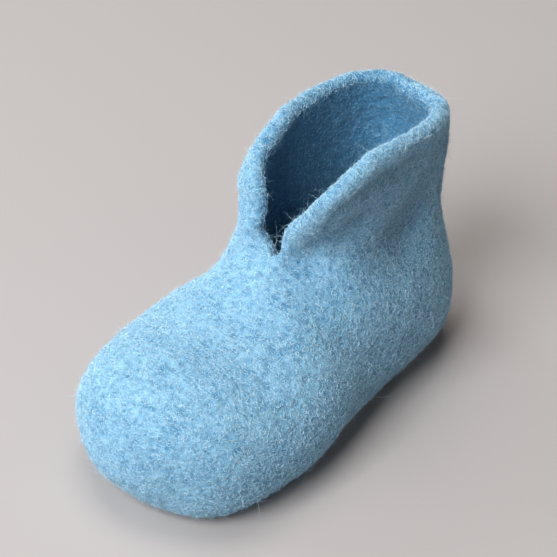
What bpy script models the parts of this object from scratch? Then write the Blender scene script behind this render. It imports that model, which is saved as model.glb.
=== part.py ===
"""A small child's felted slipper: one hollow knitted body, open at the collar and slit, and a loose insole.

The toe points to -Y, the left side is +X and the sole stands on Z = 0. All sizes are in metres.
"""

import math
from collections import namedtuple

import bmesh
import bpy
import numpy as np

# Driving dimensions
LENGTH = 0.135
BALL_WIDTH = 0.070
COLLAR_HEIGHT = 0.084
WALL = 0.005
RIM_ROUND = 0.0012
INSOLE_THICKNESS = 0.003
INSOLE_CUP = 0.002
SEAT_GAP = 0.0003

# Steps of the two meshes
BODY_STEPS = 4
BODY_COLUMNS = 22
OVAL_POINTS = 240
INSOLE_STEPS = 6
INSOLE_COLUMNS = 4
ROUND_SEGMENTS = 2
MERGE = 0.00005

# The foot is a row of ovals that fan round the ankle, from the toe tip to the rim of the collar.
# Each leans from a crest, on top or in front, to a keel, underneath or behind.
# Forward is measured from the heel in shares of LENGTH, height in shares of COLLAR_HEIGHT,
# half width and half slit in shares of BALL_WIDTH. Widest is how far up from keel to crest the oval
# is widest, and low and high are how blunt it is below and above that. A keel below zero is pressed flat.
Oval = namedtuple(
    "Oval",
    "crest_forward crest_height keel_forward keel_height half_width half_slit widest low high",
)
OVALS = {
    "toe tip": Oval(1.000, 0.200, 1.000, 0.200, 0.000, 0.000, 0.44, 2.2, 2.2),
    "toe cap": Oval(0.945, 0.415, 0.945, 0.040, 0.305, 0.000, 0.44, 2.4, 2.2),
    "toe box": Oval(0.850, 0.490, 0.850, -0.020, 0.450, 0.000, 0.44, 2.7, 2.2),
    "ball": Oval(0.715, 0.500, 0.660, -0.030, 0.500, 0.000, 0.44, 2.7, 2.2),
    "waist": Oval(0.615, 0.535, 0.480, 0.012, 0.475, 0.000, 0.44, 2.7, 2.2),
    "instep": Oval(0.568, 0.595, 0.280, -0.030, 0.405, 0.000, 0.44, 2.7, 2.2),
    "notch": Oval(0.520, 0.660, 0.060, 0.022, 0.410, 0.000, 0.50, 2.5, 2.3),
    "heel": Oval(0.497, 0.780, 0.000, 0.230, 0.352, 0.096, 0.50, 2.3, 2.9),
    "ankle": Oval(0.490, 0.865, 0.025, 0.555, 0.330, 0.152, 0.49, 2.1, 3.5),
    "throat": Oval(0.472, 0.955, 0.010, 0.805, 0.298, 0.210, 0.50, 2.4, 2.9),
    "rim": Oval(0.455, 1.010, 0.025, 0.980, 0.286, 0.255, 0.48, 2.6, 2.1),
}

# Outline of the insole, in the same shares
Cut = namedtuple("Cut", "forward half_width")
INSOLE_CUTS = {
    "toe end": Cut(0.890, 0.070),
    "toe": Cut(0.820, 0.230),
    "ball": Cut(0.660, 0.280),
    "waist": Cut(0.460, 0.205),
    "heel": Cut(0.230, 0.180),
    "heel end": Cut(0.120, 0.060),
}


def carry(rows, steps):
    """Run every column smoothly through the rows, as a Catmull-Rom curve with so many steps to a span.

    The first and last rows only steer the ends.
    """
    table = np.array(rows)
    before, start, end, after = (table[i:len(table) - 3 + i, None] for i in range(4))
    t = np.linspace(0, 1, steps, endpoint=False)[None, :, None]
    cubic = 3 * (start - end) + after - before
    square = 2 * before - 5 * start + 4 * end - after
    curve = start + t / 2 * (end - before + t * (square + t * cubic))
    return np.vstack([curve.reshape(-1, table.shape[1]), table[-2]])


def body_ovals():
    """All the ovals of the body, with the toe closing round and the rim running on straight."""
    rows = list(OVALS.values())
    cap = rows[1]
    behind_tip = cap._replace(
        crest_height=cap.keel_height,
        keel_height=cap.crest_height,
        half_width=-cap.half_width,
    )
    beyond_rim = 2 * np.array(rows[-1]) - np.array(rows[-2])
    return [Oval(*row) for row in carry([behind_tip, *rows, beyond_rim], BODY_STEPS)]


def oval_side(oval):
    """Points at even steps down the left side of an oval, from its crest or slit edge to its keel."""
    start = 0.0
    if oval.half_slit > 0:
        start = math.asin((oval.half_slit / oval.half_width) ** (oval.high / 2))
    angle = np.linspace(start, math.pi, OVAL_POINTS)
    upper = angle < math.pi / 2
    power = 2 / np.where(upper, oval.high, oval.low)
    side = oval.half_width * np.abs(np.sin(angle)) ** power
    climb = np.sign(np.cos(angle)) * np.abs(np.cos(angle)) ** power
    share = oval.widest + climb * np.where(upper, 1 - oval.widest, oval.widest)
    forward = oval.keel_forward + share * (oval.crest_forward - oval.keel_forward)
    height = oval.keel_height + share * (oval.crest_height - oval.keel_height)
    points = np.stack([side * BALL_WIDTH, -forward * LENGTH, height * COLLAR_HEIGHT], axis=1)
    points[[0, -1], 0] *= [oval.half_slit > 0, 0]
    run = np.append(0, np.cumsum(np.linalg.norm(np.diff(points, axis=0), axis=1)))
    even = np.linspace(0, run[-1], BODY_COLUMNS + 1)
    return np.stack([np.interp(even, run, axis) for axis in points.T], axis=1)


def body_side():
    """Left half of the body's outer face, pressed flat where it meets the floor, with its middle at Y = 0."""
    points = np.array([oval_side(oval) for oval in body_ovals()])
    points[..., 2] = np.maximum(points[..., 2], 0)
    points[..., 1] -= (points[..., 1].min() + points[..., 1].max()) / 2
    return points


def insole_side():
    """Left half of the insole's under face, slightly cupped, just over the body's inner floor and arch."""
    rows = list(INSOLE_CUTS.values())
    before = rows[1]._replace(half_width=-rows[1].half_width)
    after = rows[-2]._replace(half_width=-rows[-2].half_width)
    cuts = carry([before, *rows, after], INSOLE_STEPS)
    sole = [oval for oval in body_ovals() if oval.keel_height < OVALS["heel"].keel_height]
    keel = [max(oval.keel_height, 0) for oval in sole]
    lift = np.interp(-cuts[:, 0], [-oval.keel_forward for oval in sole], keel)
    across = np.linspace(0, 1, INSOLE_COLUMNS + 1)
    side = np.outer(cuts[:, 1], across) * BALL_WIDTH
    middle = (OVALS["heel"].keel_forward + OVALS["toe tip"].crest_forward) / 2
    forward = np.broadcast_to((middle - cuts[:, :1]) * LENGTH, side.shape)
    cup = INSOLE_CUP * (side / side.max()) ** 2
    height = lift[:, None] * COLLAR_HEIGHT + WALL + SEAT_GAP + cup
    return np.stack([side, forward, height], axis=2)


def felt(name, colour, roughness):
    """A dull wool material."""
    material = bpy.data.materials.new(name)
    material.use_nodes = True
    shader = material.node_tree.nodes["Principled BSDF"]
    shader.inputs["Base Color"].default_value = (*colour, 1)
    shader.inputs["Roughness"].default_value = roughness
    shader.inputs["Metallic"].default_value = 0
    return material


def sheet(name, points, material, collection):
    """A grid of points as a smooth sheet, mirrored across X = 0."""
    rows, columns = points.shape[:2]
    shape = bmesh.new()
    bmesh.ops.create_grid(shape, x_segments=columns - 1, y_segments=rows - 1, size=1)
    for vertex, point in zip(shape.verts, points.reshape(-1, 3)):
        vertex.co = point
    bmesh.ops.remove_doubles(shape, verts=shape.verts, dist=MERGE)
    mesh = bpy.data.meshes.new(name)
    shape.to_mesh(mesh)
    shape.free()
    mesh.shade_smooth()
    mesh.materials.append(material)
    piece = bpy.data.objects.new(name, mesh)
    collection.objects.link(piece)
    mirror = piece.modifiers.new("Other side", "MIRROR")
    mirror.use_clip = True
    mirror.merge_threshold = MERGE
    return piece


def mark_rim(piece, lowest):
    """Weight a sheet's open edges for rounding, where they are clear of the middle and of the slit's foot."""
    shape = bmesh.new()
    shape.from_mesh(piece.data)
    weight = shape.edges.layers.float.new("bevel_weight_edge")
    for edge in shape.edges:
        clear = max(vertex.co.x for vertex in edge.verts) > MERGE
        above = min(vertex.co.z for vertex in edge.verts) > lowest
        edge[weight] = edge.is_boundary and clear and above
    shape.to_mesh(piece.data)
    shape.free()


def thicken(piece, thickness, offset):
    """Give a sheet an even wall with a closed edge."""
    wall = piece.modifiers.new("Wall", "SOLIDIFY")
    wall.thickness = thickness
    wall.offset = offset
    wall.use_even_offset = True
    wall.use_rim = True


def round_rim(piece):
    """Round the weighted edges of the wall, inside and out."""
    bevel = piece.modifiers.new("Round rim", "BEVEL")
    bevel.limit_method = "WEIGHT"
    bevel.width = RIM_ROUND
    bevel.segments = ROUND_SEGMENTS


def main():
    for thing in list(bpy.data.objects):
        bpy.data.objects.remove(thing, do_unlink=True)
    slipper = bpy.data.collections.new("knit_slipper")
    bpy.context.scene.collection.children.link(slipper)

    blue_felt = felt("Pale blue felted knit", (0.30, 0.60, 0.83), 0.95)
    body = sheet("knit_body", body_side(), blue_felt, slipper)
    mark_rim(body, OVALS["notch"].crest_height * COLLAR_HEIGHT + WALL)
    thicken(body, WALL, -1)
    round_rim(body)

    insole_felt = felt("Blue insole felt", (0.22, 0.45, 0.62), 0.95)
    insole = sheet("insole", insole_side(), insole_felt, slipper)
    thicken(insole, INSOLE_THICKNESS, 1)


main()
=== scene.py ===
"""Looks of a small child's felted slipper: the thick knitted wall, its wool hairs and the insole.

The toe points to -Y, the left side is +X and the sole stands on Z = 0. All sizes are in metres.
"""

import math
from collections import namedtuple

import bpy
import numpy as np
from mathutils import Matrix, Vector


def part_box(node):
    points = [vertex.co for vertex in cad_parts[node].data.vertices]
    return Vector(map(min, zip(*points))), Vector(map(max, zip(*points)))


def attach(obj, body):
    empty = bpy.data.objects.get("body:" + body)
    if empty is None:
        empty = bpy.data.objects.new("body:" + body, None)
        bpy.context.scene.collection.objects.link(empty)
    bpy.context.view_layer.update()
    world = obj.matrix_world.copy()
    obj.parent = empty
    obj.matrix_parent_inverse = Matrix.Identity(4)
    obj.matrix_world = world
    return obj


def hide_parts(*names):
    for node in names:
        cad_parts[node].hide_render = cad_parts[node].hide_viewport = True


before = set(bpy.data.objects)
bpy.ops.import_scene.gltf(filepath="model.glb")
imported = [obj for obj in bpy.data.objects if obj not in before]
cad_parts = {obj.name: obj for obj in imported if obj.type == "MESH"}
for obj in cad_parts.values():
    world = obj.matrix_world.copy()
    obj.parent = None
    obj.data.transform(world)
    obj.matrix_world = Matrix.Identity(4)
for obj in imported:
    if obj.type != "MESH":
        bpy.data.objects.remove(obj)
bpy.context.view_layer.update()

# Driving dimensions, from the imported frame
LOW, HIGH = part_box("knit_body")
LENGTH = HIGH.y - LOW.y
BALL_WIDTH = HIGH.x - LOW.x
COLLAR_HEIGHT = HIGH.z - LOW.z
INSOLE_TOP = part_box("insole")[1].z
WALL = 0.005

# Steps of the wall's grid, and how near its points are welded
ROW_STEPS = 20
SIDE_COLUMNS = 106
OVAL_POINTS = 480
RIM_STEPS = 10
WELD = 0.000002
# Share of each side, from its edge on, over which the wall is drawn in for its round edge
EDGE_SHARE = 0.25

# The foot is a row of ovals that fan round the ankle, from the toe tip to the rim of the collar.
# Each leans from a crest, on top or in front, to a keel, underneath or behind.
# Forward is measured from the heel in shares of LENGTH, height in shares of COLLAR_HEIGHT,
# half width and half slit in shares of BALL_WIDTH. Widest is how far up from keel to crest the oval
# is widest, and low and high are how blunt it is below and above that. A keel below zero is pressed flat.
Oval = namedtuple(
    "Oval",
    "crest_forward crest_height keel_forward keel_height half_width half_slit widest low high",
)
OVALS = {
    "toe tip": Oval(1.000, 0.200, 1.000, 0.200, 0.000, 0.000, 0.44, 2.2, 2.2),
    "toe cap": Oval(0.945, 0.415, 0.945, 0.040, 0.305, 0.000, 0.44, 2.4, 2.2),
    "toe box": Oval(0.850, 0.490, 0.850, -0.020, 0.450, 0.000, 0.44, 2.7, 2.2),
    "ball": Oval(0.715, 0.500, 0.660, -0.030, 0.500, 0.000, 0.44, 2.7, 2.2),
    "waist": Oval(0.615, 0.535, 0.480, 0.012, 0.475, 0.000, 0.44, 2.7, 2.2),
    "instep": Oval(0.568, 0.595, 0.280, -0.030, 0.405, 0.000, 0.44, 2.7, 2.2),
    "notch": Oval(0.520, 0.660, 0.060, 0.022, 0.410, 0.000, 0.50, 2.5, 2.3),
    "heel": Oval(0.497, 0.780, 0.000, 0.230, 0.352, 0.096, 0.50, 2.3, 2.9),
    "ankle": Oval(0.490, 0.865, 0.025, 0.555, 0.330, 0.152, 0.49, 2.1, 3.5),
    "throat": Oval(0.472, 0.955, 0.010, 0.805, 0.298, 0.210, 0.50, 2.4, 2.9),
    "rim": Oval(0.455, 1.010, 0.025, 0.980, 0.286, 0.255, 0.48, 2.6, 2.1),
}
# The left flap hangs flat where the right one bulges: the half width and bluntness of its own ovals
Flap = namedtuple("Flap", "half_width low high")
LEFT_FLAP = {
    "heel": Flap(0.345, 2.4, 1.8),
    "ankle": Flap(0.278, 3.0, 1.8),
    "throat": Flap(0.274, 3.1, 1.9),
    "rim": Flap(0.288, 2.9, 2.1),
}
# Pulls on the soft wall, each on its own side of the slipper: the place in the same shares,
# how far the wall is pulled to the left, back and up there, and over what breadth that fades
Pull = namedtuple("Pull", "side forward height across back up breadth")
PULLS = {
    "left lapel": Pull(0.23, 0.41, 0.92, 0.0074, -0.0053, 0.0075, 0.0180),
    "left slit edge": Pull(0.10, 0.50, 0.76, -0.0006, -0.0002, 0.0008, 0.0095),
    "left slit foot": Pull(0.03, 0.51, 0.675, -0.0030, 0.0000, 0.0000, 0.0040),
    "right flap": Pull(-0.22, 0.45, 0.82, -0.0007, -0.0006, 0.0000, 0.0160),
    "left rim": Pull(0.26, 0.22, 0.97, 0.0032, -0.0036, 0.0036, 0.0180),
    "left lapel fold": Pull(0.22, 0.46, 0.84, 0.0040, -0.0045, 0.0046, 0.0110),
    "right corner": Pull(-0.15, 0.48, 0.85, 0.0035, 0.0000, -0.0010, 0.0070),
    "back rim": Pull(-0.15, 0.08, 1.00, -0.0004, 0.0005, 0.0009, 0.0200),
    "left heel": Pull(0.28, 0.04, 0.24, 0.0010, 0.0010, 0.0000, 0.0150),
    "right slit foot": Pull(-0.05, 0.51, 0.69, -0.0036, -0.0008, 0.0000, 0.0075),
}
# Breadth from the middle over which a pull or the left flap's roll sets in
SIDE_EASE = 0.006
# The left flap's edge rolls outward, with a hollow behind it: how far from the edge that lies,
# how deep it is, over what breadth it fades towards the edge and away from it,
# where towards the heel it ends, and over what length it runs out before that
ROLL_FROM = 0.0065
ROLL_DEPTH = 0.0024
ROLL_STEEP = 0.0030
ROLL_GENTLE = 0.0080
ROLL_END = 0.045
ROLL_FADE = 0.030
# Rows of the grid where the left flap's own shape, the slit and the drawing in below the rim start
FLAP_ROW = list(OVALS).index("instep") * ROW_STEPS
NOTCH_ROW = list(OVALS).index("notch") * ROW_STEPS
THROAT_ROW = list(OVALS).index("throat") * ROW_STEPS

# Unevenness of the felt: how far apart its lumps are, how high they stand, and the seed of each size.
# The noise repeats after so many lumps.
Lump = namedtuple("Lump", "apart high seed")
LUMPS = {
    "dents": Lump(0.0160, 0.00045, 11),
    "puckers": Lump(0.0060, 0.00022, 12),
    "crumbs": Lump(0.0019, 0.00020, 13),
}
LATTICE = 64
# Least length that a vector is divided by
TINY = 1e-12

# Soft troughs and ridges, each along a line between two places, in the same shares as the ovals.
# Side is in shares of BALL_WIDTH, breadth and rise in metres; a trough has a negative rise.
Crease = namedtuple("Crease", "side forward height end_side end_forward end_height breadth rise")
CREASES = {
    "left ankle trough": Crease(0.19, 0.475, 0.635, 0.31, 0.22, 0.60, 0.0110, -0.0050),
    "left lip hollow": Crease(0.18, 0.450, 0.670, 0.31, 0.41, 0.80, 0.0080, -0.0045),
    "right ankle trough": Crease(-0.06, 0.50, 0.66, -0.40, 0.36, 0.56, 0.0070, -0.0012),
    "left sole edge": Crease(0.42, 0.80, 0.06, 0.34, 0.12, 0.08, 0.0090, -0.0009),
    "right sole edge": Crease(-0.42, 0.80, 0.06, -0.34, 0.12, 0.08, 0.0090, -0.0009),
    "toe edge": Crease(-0.30, 0.92, 0.12, 0.24, 0.96, 0.10, 0.0120, -0.0010),
    "right vamp dip": Crease(-0.40, 0.85, 0.32, -0.30, 0.64, 0.44, 0.0120, -0.0006),
    "left vamp ridge": Crease(0.10, 0.57, 0.58, 0.42, 0.44, 0.44, 0.0080, 0.0007),
}

# Outline of the insole, in the same shares
Cut = namedtuple("Cut", "forward half_width")
INSOLE_CUTS = {
    "toe end": Cut(0.890, 0.070),
    "toe": Cut(0.820, 0.230),
    "ball": Cut(0.660, 0.280),
    "waist": Cut(0.460, 0.205),
    "heel": Cut(0.230, 0.180),
    "heel end": Cut(0.120, 0.060),
}
INSOLE_THICKNESS = 0.003
INSOLE_CUP = 0.002
INSOLE_STEPS = 16
INSOLE_COLUMNS = 64
SEAT_GAP = 0.0003
# Powers of cosine and sine that make the insole's profile blunt, and its share of the wall's unevenness
INSOLE_ACROSS = 0.35
INSOLE_UP = 0.5
INSOLE_FELT = 0.5

# Wool hairs in their kinds: how many, of how many points, how long, how wide, their least and most rise,
# how far they bow sideways in shares of their length, and the seed. The rise is the height of a matted
# hair's arch, in metres, and the slant of a loose one, in radians.
Hair = namedtuple("Hair", "count points shortest longest width shallow steep bow seed")
MATTED_HAIRS = {
    "pale_matted_wool": Hair(44000, 3, 0.0009, 0.0024, 0.000150, 0.00015, 0.00050, 0.50, 21),
    "deep_matted_wool": Hair(38000, 3, 0.0009, 0.0024, 0.000150, 0.00005, 0.00035, 0.50, 22),
    "inner_matted_wool": Hair(20000, 3, 0.0009, 0.0024, 0.000150, 0.00005, 0.00035, 0.50, 26),
}
LOOSE_HAIRS = {
    "short_loose_wool": Hair(42000, 3, 0.0008, 0.0018, 0.000080, 0.40, 1.35, 0.35, 23),
    "long_loose_wool": Hair(26000, 4, 0.0015, 0.0042, 0.000065, 0.20, 1.05, 0.60, 24),
    "stray_wool": Hair(420, 9, 0.0035, 0.0080, 0.000085, 0.50, 1.30, 0.80, 25),
}
# How far the outer face is drawn in for the hairs, how deep their roots are, how much their flats are
# turned, how much of their width they lose at the ends, and their least height over the floor
NAP = 0.0003
HAIR_SINK = 0.00025
HAIR_TWIST = 1.0
MATTED_TAPER = 0.70
LOOSE_TAPER = 0.85
LEAST_HEIGHT = 0.0004

# Camera, at the photograph's angle
CAMERA_AZIMUTH = 41.46
CAMERA_ELEVATION = 37.35
CAMERA_DISTANCE = 0.684
CAMERA_VIEW = 13.28
CAMERA_AIM = Vector((0, 0, 0.0439))
CAMERA_SHIFT = (0.0084, 0.0098)

# Shades of the wool and its hairs, and the tint and strength of the sheen. The inner hair is a darker blue,
# painted shade for the inside of the shaft.
DEEP_BLUE = (0.045, 0.18, 0.32)
PALE_BLUE = (0.24, 0.46, 0.62)
PALE_HAIR = (0.40, 0.62, 0.76)
DEEP_HAIR = (0.26, 0.52, 0.71)
PAINTED_SHADE_INNER_HAIR = (0.14, 0.34, 0.51)
SHEEN_TINT = (0.55, 0.85, 1.00, 1)
WALL_SHEEN = 0.3
INSOLE_SHEEN = 0.1

# Grain of the felt: the turns of its crossing strokes, how many patches of each kind go to a metre,
# how much each tells in the tone from deep to pale, how much darker the inner face is painted as painted
# shade, at what sum it starts, how strong and deep the bump is, and how fine the noise gets
STROKE_TURNS = ((0.4, 0.2, 0.3), (0.9, 1.3, 1.1), (1.8, 0.5, 2.2))
STROKES_ALONG = 260
STROKES_ACROSS = 1500
CRUMBS = 480
MOTTLES = 95
STROKE_TONE = 1.8
CRUMB_TONE = 1.8
MOTTLE_TONE = 0.6
INSIDE_PAINTED_SHADE = 0.60
TONE_START = 1.6
BUMP_STRENGTH = 0.9
BUMP_DEPTH = 0.0010
NOISE_DETAIL = 2

# Studio: the floor's half width and colour, two colours of light, and soft square lights, each so many
# degrees round from the toe and so many up, so far off, so wide, so strong and of one of the two colours.
# The room itself gives a weak even light.
FLOOR_REACH = 4.0
FLOOR_COLOUR = (0.36, 0.341, 0.34)
DAYLIGHT = (0.98, 1.00, 1.01)
LAMPLIGHT = (1.00, 0.91, 0.84)
Lamp = namedtuple("Lamp", "azimuth elevation distance size power colour")
LAMPS = {
    "front window": Lamp(5, 44, 1.6, 0.9, 37.0, DAYLIGHT),
    "low side window": Lamp(-72, 15, 1.4, 0.9, 15.5, DAYLIGHT),
    "ceiling": Lamp(240, 80, 1.4, 0.8, 11.5, LAMPLIGHT),
    "soft fill": Lamp(82, 42, 1.4, 0.9, 2.0, DAYLIGHT),
}
ROOM_LIGHT = 0.01


def carry(rows, steps):
    """Every column of a table run smoothly through its rows, as a Catmull-Rom curve.

    There are so many steps to a span, and the first and last rows only steer the ends.
    """
    table = np.array(rows)
    before, start, end, after = (table[i:len(table) - 3 + i, None] for i in range(4))
    share = np.linspace(0, 1, steps, endpoint=False)[None, :, None]
    cubic = 3 * (start - end) + after - before
    square = 2 * before - 5 * start + 4 * end - after
    curve = start + share / 2 * (end - before + share * (square + share * cubic))
    return np.vstack([curve.reshape(-1, table.shape[1]), table[-2]])


def body_ovals():
    """All the ovals of the body, with the toe closing round and the rim running on straight."""
    rows = list(OVALS.values())
    cap = rows[1]
    behind_tip = cap._replace(
        crest_height=cap.keel_height,
        keel_height=cap.crest_height,
        half_width=-cap.half_width,
    )
    beyond_rim = 2 * np.array(rows[-1]) - np.array(rows[-2])
    return [Oval(*row) for row in carry([behind_tip, *rows, beyond_rim], ROW_STEPS)]


def slit_share(oval):
    """How far from keel to crest the slit's edge lies on an oval."""
    climb = (1 - (max(oval.half_slit, 0) / oval.half_width) ** oval.high) ** (1 / oval.high)
    return oval.widest + climb * (1 - oval.widest)


def left_oval(oval, shape):
    """An oval as the left flap has it, with its crest moved so that the slit's edge stays where it is."""
    flap = oval._replace(**shape._asdict())
    stretch = slit_share(oval) / slit_share(flap)
    return flap._replace(
        crest_forward=oval.keel_forward + stretch * (oval.crest_forward - oval.keel_forward),
        crest_height=oval.keel_height + stretch * (oval.crest_height - oval.keel_height),
    )


def left_ovals(ovals):
    """The ovals of the left side: the body's own up to the instep, and from there on the left flap's."""
    own = {name: Flap(oval.half_width, oval.low, oval.high) for name, oval in OVALS.items()}
    table = list({**own, **LEFT_FLAP}.values())
    shapes = [Flap(*row) for row in carry([table[0], *table, table[-1]], ROW_STEPS)]
    flaps = [left_oval(oval, shape) for oval, shape in zip(ovals[FLAP_ROW:], shapes[FLAP_ROW:])]
    return ovals[:FLAP_ROW] + flaps


def oval_side(oval):
    """Points at even steps down the left side of an oval, from its crest or slit edge to its keel.

    The oval is a superellipse: sideways goes by a power of the sine of the angle from the crest, and the
    share of the way from keel to crest by the same power of its cosine.
    """
    start = 0.0
    if oval.half_slit > 0:
        start = math.asin((oval.half_slit / oval.half_width) ** (oval.high / 2))
    angle = np.linspace(start, math.pi, OVAL_POINTS)
    upper = angle < math.pi / 2
    power = 2 / np.where(upper, oval.high, oval.low)
    side = oval.half_width * np.abs(np.sin(angle)) ** power
    climb = np.sign(np.cos(angle)) * np.abs(np.cos(angle)) ** power
    share = oval.widest + climb * np.where(upper, 1 - oval.widest, oval.widest)
    forward = oval.keel_forward + share * (oval.crest_forward - oval.keel_forward)
    height = oval.keel_height + share * (oval.crest_height - oval.keel_height)
    points = np.stack([side * BALL_WIDTH, -forward * LENGTH, height * COLLAR_HEIGHT], axis=1)
    points[[0, -1], 0] *= [oval.half_slit > 0, 0]
    run = np.append(0, np.cumsum(np.linalg.norm(np.diff(points, axis=0), axis=1)))
    even = np.linspace(0, run[-1], SIDE_COLUMNS + 1)
    return np.stack([np.interp(even, run, axis) for axis in points.T], axis=1)


def unit(vectors):
    """Vectors of length one, along the last axis."""
    return vectors / np.maximum(np.linalg.norm(vectors, axis=-1, keepdims=True), TINY)


def ease(share):
    """A share from 0 to 1 that starts and ends softly."""
    share = np.clip(share, 0, 1)
    return share * share * (3 - 2 * share)


def lattice(points, apart, seed):
    """Smooth noise from -1 to 1: random values on a lattice of cubes, eased from corner to corner."""
    values = np.random.default_rng(seed).uniform(-1, 1, (LATTICE, LATTICE, LATTICE))
    place = points / apart
    cell = np.floor(place).astype(int)
    share = ease(place - cell)
    total = np.zeros(points.shape[:-1])
    for corner in np.ndindex(2, 2, 2):
        weight = np.prod(np.where(corner, share, 1 - share), axis=-1)
        total += weight * values[tuple(np.moveaxis((cell + corner) % LATTICE, -1, 0))]
    return total


def felt_rise(points):
    """How far the felt stands out at each point: the sum of smooth noise for dents, puckers and crumbs."""
    return sum(lump.high * lattice(points, lump.apart, lump.seed) for lump in LUMPS.values())


def spot(side, forward, height):
    """A place given in shares, in metres, with the middle of the length at zero."""
    return np.array([side * BALL_WIDTH, (0.5 - forward) * LENGTH, height * COLLAR_HEIGHT])


def pulled(points):
    """How far each point is pulled over: a bell curve of the distance to each pull's place.

    A pull fades out towards the middle and leaves the other side of the slipper alone.
    """
    shift = np.zeros_like(points)
    for pull in PULLS.values():
        away = np.linalg.norm(points - spot(*pull[:3]), axis=-1)
        same_side = ease(points[..., 0] * np.sign(pull.side) / SIDE_EASE)
        shift += np.multiply.outer(np.exp(-(away / pull.breadth) ** 2) * same_side, pull[3:6])
    return shift


def crease_rise(points):
    """How far each crease lifts or sinks each point: a bell curve of the distance to the crease's line."""
    rise = np.zeros(points.shape[:-1])
    for crease in CREASES.values():
        start = spot(*crease[:3])
        run = spot(*crease[3:6]) - start
        along = np.clip((points - start) @ run / (run @ run), 0, 1)
        away = np.linalg.norm(points - start - along[..., None] * run, axis=-1)
        rise += crease.rise * np.exp(-(away / crease.breadth) ** 2)
    return rise


def edge_path(rows, columns):
    """Rows and columns round the open edge: up the slit's left, round the rim and down the slit's right."""
    up = np.arange(NOTCH_ROW, rows)
    rim = np.arange(1, columns - 1)
    row = np.concatenate([up, np.full(columns - 2, rows - 1), up[::-1]])
    column = np.concatenate([np.zeros_like(up), rim, np.full_like(up, columns - 1)])
    return row, column


def roll_rise(points):
    """How far the wall sinks behind the left flap's rolled edge: a bell curve of the distance to the edge.

    The curve is steep towards the edge and gentle away from it. It fades towards the middle, heel and vamp.
    """
    row, column = edge_path(*points.shape[:2])
    path = points[row, column]
    path = path[path[:, 0] >= 0]
    flap = points[FLAP_ROW:, :SIDE_COLUMNS]
    away = np.linalg.norm(flap[:, :, None] - path, axis=-1).min(axis=-1)
    bell = np.exp(-((away - ROLL_FROM) / np.where(away < ROLL_FROM, ROLL_STEEP, ROLL_GENTLE)) ** 2)
    bell = bell * ease(flap[..., 0] / SIDE_EASE) * ease((ROLL_END - flap[..., 1]) / ROLL_FADE)
    bell = bell * ease(np.arange(len(flap)) / ROW_STEPS)[:, None]
    rise = np.zeros(points.shape[:2])
    rise[FLAP_ROW:, :SIDE_COLUMNS] = -ROLL_DEPTH * bell
    return rise


def grid_normals(points):
    """Outward normals of the wall's grid: the cross product of its two directions.

    Where the seam is closed its two sides share one normal, and the toe tip faces straight ahead.
    """
    along = np.gradient(points, axis=0)
    across = np.gradient(points, axis=1)
    normals = unit(np.cross(across, along))
    seam = unit(normals[:NOTCH_ROW + 1, 0] + normals[:NOTCH_ROW + 1, -1])
    normals[:NOTCH_ROW + 1, 0] = seam
    normals[:NOTCH_ROW + 1, -1] = seam
    normals[0] = (0, -1, 0)
    return normals


def wall_grid():
    """Outer face of the wall: ovals from toe tip to rim, each from left crest over keel to right crest.

    Along the rim and the slit the grid stops short of the edge by the edge's reach, half the wall and less
    where the slit closes, so that the round edge ends where the ovals do. The wall is then pulled over, and
    moved along its normals by the creases and the roll. Returns points, normals and reach.
    """
    ovals = body_ovals()
    left = np.array([oval_side(oval) for oval in left_ovals(ovals)])
    right = np.array([oval_side(oval) for oval in ovals])[:, -2::-1] * (-1, 1, 1)
    points = np.concatenate([left, right], axis=1)
    points[..., 2] = np.maximum(points[..., 2], 0)
    points[..., 1] -= (points[..., 1].min() + points[..., 1].max()) / 2
    rows, columns = points.shape[:2]
    half_slit = np.array([max(oval.half_slit, 0) for oval in ovals]) * BALL_WIDTH
    half_slit[:NOTCH_ROW + 1] = 0
    reach = np.minimum(half_slit, WALL / 2)
    along = unit(np.gradient(points, axis=0))
    across = unit(np.gradient(points, axis=1))
    up = ease((np.arange(rows) - THROAT_ROW) / (rows - 1 - THROAT_ROW))[:, None, None]
    from_edge = np.minimum(np.arange(columns), columns - 1 - np.arange(columns)) / SIDE_COLUMNS
    near_edge = np.clip(1 - from_edge / EDGE_SHARE, 0, 1) * np.sign(SIDE_COLUMNS - np.arange(columns))
    points = points - WALL / 2 * up * along
    points = points + reach[:, None, None] * near_edge[None, :, None] * across
    points = points + pulled(points)
    normals = grid_normals(points)
    points = points + normals * (crease_rise(points) + roll_rise(points))[..., None]
    return points, grid_normals(points), reach


def round_edge(points, normals, reach):
    """The round edge: half an ellipse from the outer face to the inner one, carried along the edge path.

    Returns its points and its outward directions, a row for each place on the path.
    """
    rows, columns = points.shape[:2]
    row, column = edge_path(rows, columns)
    middle = points[row, column] - normals[row, column] * WALL / 2
    run = np.roll(middle, -1, axis=0) - np.roll(middle, 1, axis=0)
    outward = unit(np.cross(normals[row, column], run))
    far = np.where((column > 0) & (column < columns - 1), WALL / 2, reach[row])
    turn = np.linspace(0, math.pi, RIM_STEPS + 1)[None, :, None]
    thick = WALL / 2 * np.cos(turn) * normals[row, column][:, None]
    wide = far[:, None, None] * np.sin(turn) * outward[:, None]
    directions = unit(np.cos(turn) * normals[row, column][:, None] + np.sin(turn) * outward[:, None])
    return middle[:, None] + thick + wide, directions


def quads(rows, columns, first=0):
    """Corner numbers of the squares of a grid of points, in order round each square."""
    corner = first + np.arange(rows * columns).reshape(rows, columns)
    around_square = [corner[:-1, :-1], corner[:-1, 1:], corner[1:, 1:], corner[1:, :-1]]
    return np.stack(around_square, axis=-1).reshape(-1, 4)


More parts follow.
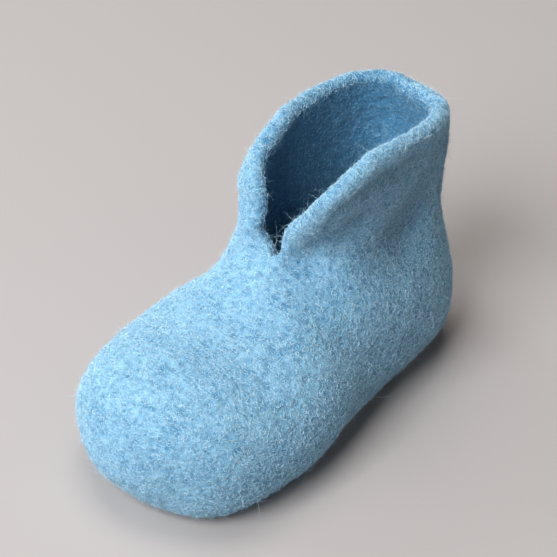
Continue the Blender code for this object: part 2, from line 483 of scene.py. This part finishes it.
def piece_from(name, points, faces, material, weld=False, inside=None):
    """A smooth mesh from arrays of points and faces, riding on the slipper.

    Points that meet are welded if asked. Inside, where given, is kept with each point: 0 on the outer face
    and 1 on the inner one.
    """
    mesh = bpy.data.meshes.new(name)
    mesh.vertices.add(len(points))
    mesh.vertices.foreach_set("co", np.ascontiguousarray(points, dtype=np.float32).ravel())
    mesh.loops.add(faces.size)
    mesh.loops.foreach_set("vertex_index", np.ascontiguousarray(faces, dtype=np.int32).ravel())
    mesh.polygons.add(len(faces))
    mesh.polygons.foreach_set("loop_start", np.arange(0, faces.size, faces.shape[1], dtype=np.int32))
    mesh.update(calc_edges=True)
    if inside is not None:
        mesh.attributes.new("inside", "FLOAT", "POINT").data.foreach_set("value", inside.astype(np.float32))
    mesh.materials.append(material)
    piece = bpy.data.objects.new(name, mesh)
    bpy.context.scene.collection.objects.link(piece)
    if weld:
        bpy.context.view_layer.objects.active = piece
        join = piece.modifiers.new("Weld", "WELD")
        join.merge_threshold = WELD
        bpy.ops.object.modifier_apply(modifier="Weld")
    piece.data.shade_smooth()
    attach(piece, "root")
    return piece


def wall_skins():
    """The skins of the felted wall as grids of points and normals: outer face, inner face and round edge.

    Each point stands out along its normal by the rise of the felt. The outer face is drawn in by the nap,
    to make room for the hairs, less where it faces down, and is pressed flat on the floor. The inner face
    lies a wall's thickness further in, and only dips where the insole lies.
    """
    points, normals, reach = wall_grid()
    edge, directions = round_edge(points, normals, reach)
    inner = points - normals * WALL
    rise = felt_rise(inner)
    under_insole = ease((INSOLE_TOP + 2 * INSOLE_CUP - inner[..., 2]) / INSOLE_CUP)
    rise = rise * (1 - under_insole) - np.abs(rise) * under_insole
    outer = points + normals * (felt_rise(points) - NAP * np.minimum(1 + normals[..., 2], 1))[..., None]
    outer[..., 2] = np.maximum(outer[..., 2], 0)
    nap = NAP * np.linspace(1, 0, RIM_STEPS + 1) * np.minimum(1 + directions[..., 2], 1)
    return [
        (outer, normals),
        (inner - normals * rise[..., None], -normals),
        (edge + directions * (felt_rise(edge) - nap)[..., None], directions),
    ]


def felted_wall(skins, material):
    """The felted wall as one closed piece: its three skins, welded along their shared edges."""
    (outer, _), (inner, _), (edge, _) = skins
    rows, columns = outer.shape[:2]
    closed = np.concatenate([edge, edge[:1]])
    squares = [
        quads(rows, columns)[:, ::-1],
        quads(rows, columns, rows * columns),
        quads(len(closed), RIM_STEPS + 1, 2 * rows * columns),
    ]
    points = np.concatenate([skin.reshape(-1, 3) for skin in (outer, inner, closed)])
    across_edge = np.tile(np.linspace(0, 1, RIM_STEPS + 1), len(closed))
    # How far in each point lies, which the felt's material reads to paint the inner face darker as painted
    # shade
    inside = np.concatenate([np.zeros(rows * columns), np.ones(rows * columns), across_edge])
    faces = np.concatenate(squares)
    piece = piece_from("felted_wall", points, faces, material, weld=True, inside=inside)
    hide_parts("knit_body")


def scatter(skins, count, rng):
    """Random places spread evenly over grids: a square is drawn by its area, then a place within it.

    Squares on the floor get none. Returns the places and the normals there.
    """
    corners = np.concatenate([points.reshape(-1, 3)[quads(*points.shape[:2])] for points, _ in skins])
    fronts = np.concatenate([normals.reshape(-1, 3)[quads(*normals.shape[:2])] for _, normals in skins])
    area = np.linalg.norm(np.cross(corners[:, 1] - corners[:, 0], corners[:, 3] - corners[:, 0]), axis=1)
    area *= corners[:, 0, 2] > LEAST_HEIGHT
    square = rng.choice(len(area), count, p=area / area.sum())
    across, along = rng.uniform(size=(2, count, 1))

    def within(values):
        """Values at the places, blended from the corners of their squares."""
        first = values[square, 0] * (1 - across) + values[square, 1] * across
        second = values[square, 3] * (1 - across) + values[square, 2] * across
        return first * (1 - along) + second * along

    return within(corners), unit(within(fronts))


def headings(normals, rng):
    """A random direction along the wall at each normal, and the direction square to both."""
    random = rng.normal(size=normals.shape)
    heading = unit(np.cross(normals, random))
    return heading, np.cross(normals, heading)


def ribbons(name, paths, flats, widths, material):
    """Hairs as thin ribbons: each path widened to both sides, square to its run and to its flat's facing."""
    count, steps = paths.shape[:2]
    run = np.gradient(paths, axis=1)
    side = unit(np.cross(run, flats[:, None])) * widths[..., None] / 2
    points = np.stack([paths - side, paths + side], axis=2)
    points[..., 2] = np.maximum(points[..., 2], LEAST_HEIGHT)
    strip = quads(steps, 2)
    faces = strip[None] + np.arange(count)[:, None, None] * steps * 2
    piece_from(name, points.reshape(-1, 3), faces.reshape(-1, 4), material)


def matted_hairs(name, skins, material):
    """Hairs felted down onto the wall: each arches over its place and dips into the wall at both ends.

    At share s from -1 to 1 a hair lies half its length times s along its heading, half its bow times
    s squared sideways, and its arch times 1 less s squared over the wall, less its sunk depth.
    """
    hair = MATTED_HAIRS[name]
    rng = np.random.default_rng(hair.seed)
    places, normals = scatter(skins, hair.count, rng)
    heading, sideways = headings(normals, rng)
    length = rng.uniform(hair.shortest, hair.longest, (hair.count, 1, 1))
    bow = length * rng.normal(0, hair.bow, (hair.count, 1, 1))
    arch = rng.uniform(hair.shallow, hair.steep, (hair.count, 1, 1)) + HAIR_SINK
    share = np.linspace(-1, 1, hair.points)[None, :, None]
    paths = places[:, None] + length / 2 * share * heading[:, None]
    paths = paths + bow / 2 * share ** 2 * sideways[:, None]
    paths = paths + (arch * (1 - share ** 2) - HAIR_SINK) * normals[:, None]
    taper = np.broadcast_to(1 - MATTED_TAPER * share[..., 0] ** 2, paths.shape[:2])
    flats = unit(normals + HAIR_TWIST * rng.normal(size=normals.shape))
    ribbons(name, paths, flats, hair.width * taper, material)


def loose_hairs(name, skins, material):
    """Hairs with a free end: each leaves its place at a slant and curls over sideways.

    At share s from 0 to 1 a hair lies its length times s along its slant and its bow times s squared
    sideways, and bends back to the wall by a third of its rise times s squared.
    """
    hair = LOOSE_HAIRS[name]
    rng = np.random.default_rng(hair.seed)
    places, normals = scatter(skins, hair.count, rng)
    heading, sideways = headings(normals, rng)
    length = hair.shortest + (hair.longest - hair.shortest) * rng.uniform(size=(hair.count, 1, 1)) ** 2
    slant = rng.uniform(hair.shallow, hair.steep, (hair.count, 1, 1))
    bow = length * rng.normal(0, hair.bow, (hair.count, 1, 1))
    share = np.linspace(0, 1, hair.points)[None, :, None]
    rise = length * np.sin(slant) * (share - share ** 2 / 3)
    paths = places[:, None] + length * np.cos(slant) * share * heading[:, None]
    paths = paths + bow * share ** 2 * sideways[:, None] + (rise - HAIR_SINK) * normals[:, None]
    taper = np.broadcast_to(1 - LOOSE_TAPER * share[..., 0], paths.shape[:2])
    flats = unit(normals + HAIR_TWIST * rng.normal(size=normals.shape))
    ribbons(name, paths, flats, hair.width * taper, material)


def insole_pad(material):
    """The insole: a flat rounded profile carried from toe end to heel end, over the arch.

    The profile is a blunt superellipse, wide by the cut's half width and thick by the insole's thickness.
    Each point rises by the cup times the square of its share of the widest half width, and the top is
    uneven by a share of the felt's rise.
    """
    rows = list(INSOLE_CUTS.values())
    before = rows[1]._replace(half_width=-rows[1].half_width)
    after = rows[-2]._replace(half_width=-rows[-2].half_width)
    cuts = carry([before, *rows, after], INSOLE_STEPS)
    sole = [oval for oval in body_ovals() if oval.keel_height < OVALS["heel"].keel_height]
    keel = [max(oval.keel_height, 0) for oval in sole]
    lift = np.interp(-cuts[:, 0], [-oval.keel_forward for oval in sole], keel) * COLLAR_HEIGHT
    turn = np.linspace(0, 2 * math.pi, INSOLE_COLUMNS, endpoint=False)
    across = np.sign(np.cos(turn)) * np.abs(np.cos(turn)) ** INSOLE_ACROSS
    thick = np.sign(np.sin(turn)) * np.abs(np.sin(turn)) ** INSOLE_UP
    side = np.outer(cuts[:, 1], across) * BALL_WIDTH
    height = lift[:, None] + WALL + SEAT_GAP + INSOLE_THICKNESS * (1 + thick) / 2
    height = height + INSOLE_CUP * (side / side.max()) ** 2
    forward = np.broadcast_to((0.5 - cuts[:, :1]) * LENGTH, side.shape)
    points = np.stack([side, forward, height], axis=-1)
    points = np.concatenate([points, points[:, :1]], axis=1)
    ends = points[[0, -1], :-1].mean(axis=1)[:, None].repeat(points.shape[1], axis=1)
    points = np.concatenate([ends[:1], points, ends[1:]])
    rise = felt_rise(points) * INSOLE_FELT
    on_top = points[..., 2] > lift.max() + WALL + INSOLE_THICKNESS / 2
    points[..., 2] += np.where(on_top, rise, 0)
    faces = quads(*points.shape[:2])[:, ::-1]
    piece = piece_from("insole_pad", points.reshape(-1, 3), faces, material, weld=True)
    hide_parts("insole")


class Value:
    """A value that changes over a surface: an output socket whose sums and products add Math nodes."""

    def __init__(self, finish, socket):
        self.finish = finish
        self.socket = socket

    def math(self, operation, first, second):
        """Adds a Math node for two values."""
        return self.finish.node("ShaderNodeMath", {"operation": operation}, {0: first, 1: second})

    def __add__(self, other):
        return self.math("ADD", self, other)

    def __radd__(self, other):
        return self.math("ADD", other, self)

    def __sub__(self, other):
        return self.math("SUBTRACT", self, other)

    def __rsub__(self, other):
        return self.math("SUBTRACT", other, self)

    def __mul__(self, other):
        return self.math("MULTIPLY", self, other)

    def __rmul__(self, other):
        return self.math("MULTIPLY", other, self)


class Finish:
    """A material built up node by node round its Principled shader, with its constants set on the shader."""

    def __init__(self, name, constants):
        self.material = bpy.data.materials.new(name)
        self.material.use_nodes = True
        self.tree = self.material.node_tree
        self.shader = self.tree.nodes["Principled BSDF"]
        for socket, value in constants.items():
            self.shader.inputs[socket].default_value = value

    def node(self, kind, settings, sockets, output=0):
        """Adds a node with its settings and the values or links of its sockets, and returns one output."""
        node = self.tree.nodes.new(kind)
        for name, value in settings.items():
            setattr(node, name, value)
        for name, value in sockets.items():
            self.feed(node.inputs[name], value)
        return Value(self, node.outputs[output])

    def feed(self, socket, value):
        """Links a value to a socket, or sets a plain number, vector or colour on it."""
        if isinstance(value, Value):
            self.tree.links.new(value.socket, socket)
        else:
            socket.default_value = value

    def place(self):
        """Where a point is on the slipper."""
        return self.node("ShaderNodeTexCoord", {}, {}, output="Object")

    def noise(self, place, scale):
        """Soft random tone from 0 to 1, with so many patches to a metre."""
        sockets = {"Vector": place, "Scale": scale, "Detail": NOISE_DETAIL}
        return self.node("ShaderNodeTexNoise", {}, sockets)

    def strokes(self, place, turn):
        """Random tone drawn out along one direction, as of combed hairs."""
        scale = (STROKES_ALONG, STROKES_ACROSS, STROKES_ACROSS)
        drawn = self.node("ShaderNodeMapping", {}, {"Vector": place, "Rotation": turn, "Scale": scale})
        return self.noise(drawn, 1)

    def mix(self, share, first, second):
        """A colour between two colours, by the node's colour sockets: inputs 6 and 7, and output 2."""
        settings = {"data_type": "RGBA"}
        return self.node("ShaderNodeMix", settings, {0: share, 6: first, 7: second}, output=2)


def felt_finish(name, sheen):
    """Felted wool, with bump: strokes crossing three ways over crumbs and mottling, deep to pale blue."""
    finish = Finish(name, {
        "Roughness": 0.95,
        "Sheen Weight": sheen,
        "Sheen Roughness": 0.5,
        "Sheen Tint": SHEEN_TINT,
    })
    place = finish.place()
    crossing = sum(finish.strokes(place, turn) for turn in STROKE_TURNS) * (1 / len(STROKE_TURNS))
    crumbs = finish.noise(place, CRUMBS)
    mottle = finish.noise(place, MOTTLES)
    inside = finish.node("ShaderNodeAttribute", {"attribute_name": "inside"}, {}, output="Fac")
    tone = crossing * STROKE_TONE + crumbs * CRUMB_TONE + mottle * MOTTLE_TONE
    # The inner face, and the round edge more towards its inner side, is painted darker: painted shade inside
    # the slipper
    tone = tone - TONE_START - inside * INSIDE_PAINTED_SHADE
    finish.feed(finish.shader.inputs["Base Color"], finish.mix(tone, (*DEEP_BLUE, 1), (*PALE_BLUE, 1)))
    sockets = {"Strength": BUMP_STRENGTH, "Distance": BUMP_DEPTH, "Height": crossing + crumbs}
    finish.feed(finish.shader.inputs["Normal"], finish.node("ShaderNodeBump", {}, sockets))
    return finish.material


def hair_finish(name, colour):
    """One shade of wool hair."""
    return Finish(name, {"Base Color": (*colour, 1), "Roughness": 0.8, "Sheen Weight": 0.2}).material


def paper_finish():
    """The dull pale paper of the floor."""
    return Finish("Pale paper", {"Base Color": (*FLOOR_COLOUR, 1), "Roughness": 0.9}).material


def around(azimuth, elevation):
    """The direction so many degrees round from the toe, towards the left side, and so many degrees up."""
    turn = math.radians(azimuth)
    rise = math.radians(elevation)
    return Vector((math.sin(turn) * math.cos(rise), -math.cos(turn) * math.cos(rise), math.sin(rise)))


def place_camera():
    """The camera, turned and raised about its aim as the photograph was taken, with plain colours."""
    camera = bpy.data.cameras.new("Camera")
    camera.sensor_fit = "HORIZONTAL"
    camera.angle = math.radians(CAMERA_VIEW)
    camera.shift_x, camera.shift_y = CAMERA_SHIFT
    eye = bpy.data.objects.new("Camera", camera)
    back = around(CAMERA_AZIMUTH, CAMERA_ELEVATION)
    eye.location = CAMERA_AIM + back * CAMERA_DISTANCE
    eye.rotation_euler = back.to_track_quat("Z", "Y").to_euler()
    bpy.context.scene.collection.objects.link(eye)
    bpy.context.scene.camera = eye
    bpy.context.scene.view_settings.view_transform = "Standard"


def paper_floor():
    """A square of pale paper under the slipper."""
    mesh = bpy.data.meshes.new("floor")
    corners = [(-1, -1), (1, -1), (1, 1), (-1, 1)]
    mesh.from_pydata([(x * FLOOR_REACH, y * FLOOR_REACH, 0) for x, y in corners], [], [(0, 1, 2, 3)])
    mesh.materials.append(paper_finish())
    floor = bpy.data.objects.new("floor", mesh)
    bpy.context.scene.collection.objects.link(floor)


def soft_lights():
    """The square lights, each facing the slipper, and the room's weak even light."""
    for name, lamp in LAMPS.items():
        shine = bpy.data.lights.new(name, "AREA")
        shine.size = lamp.size
        shine.energy = lamp.power
        shine.color = lamp.colour
        light = bpy.data.objects.new(name, shine)
        back = around(lamp.azimuth, lamp.elevation)
        light.location = CAMERA_AIM + back * lamp.distance
        light.rotation_euler = back.to_track_quat("Z", "Y").to_euler()
        bpy.context.scene.collection.objects.link(light)
    world = bpy.data.worlds.new("Room")
    world.use_nodes = True
    room = world.node_tree.nodes["Background"]
    room.inputs["Color"].default_value = (*LAMPLIGHT, 1)
    room.inputs["Strength"].default_value = ROOM_LIGHT
    bpy.context.scene.world = world


def main():
    """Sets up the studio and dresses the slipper."""
    place_camera()
    paper_floor()
    soft_lights()
    skins = wall_skins()
    felted_wall(skins, felt_finish("Pale blue felted knit", WALL_SHEEN))
    insole_pad(felt_finish("Blue insole felt", INSOLE_SHEEN))
    outer, inner, edge = skins
    shaft_inside = tuple(grid[NOTCH_ROW:] for grid in inner)
    pale = hair_finish("Pale wool hair", PALE_HAIR)
    deep = hair_finish("Deep wool hair", DEEP_HAIR)
    # The hairs inside the shaft take a darker blue than the outer ones: painted shade
    shaded = hair_finish("Inner wool hair in painted shade", PAINTED_SHADE_INNER_HAIR)
    matted_hairs("pale_matted_wool", [outer, edge], pale)
    matted_hairs("deep_matted_wool", [outer, edge], deep)
    matted_hairs("inner_matted_wool", [shaft_inside], shaded)
    for name in LOOSE_HAIRS:
        loose_hairs(name, [outer, edge], pale)


main()
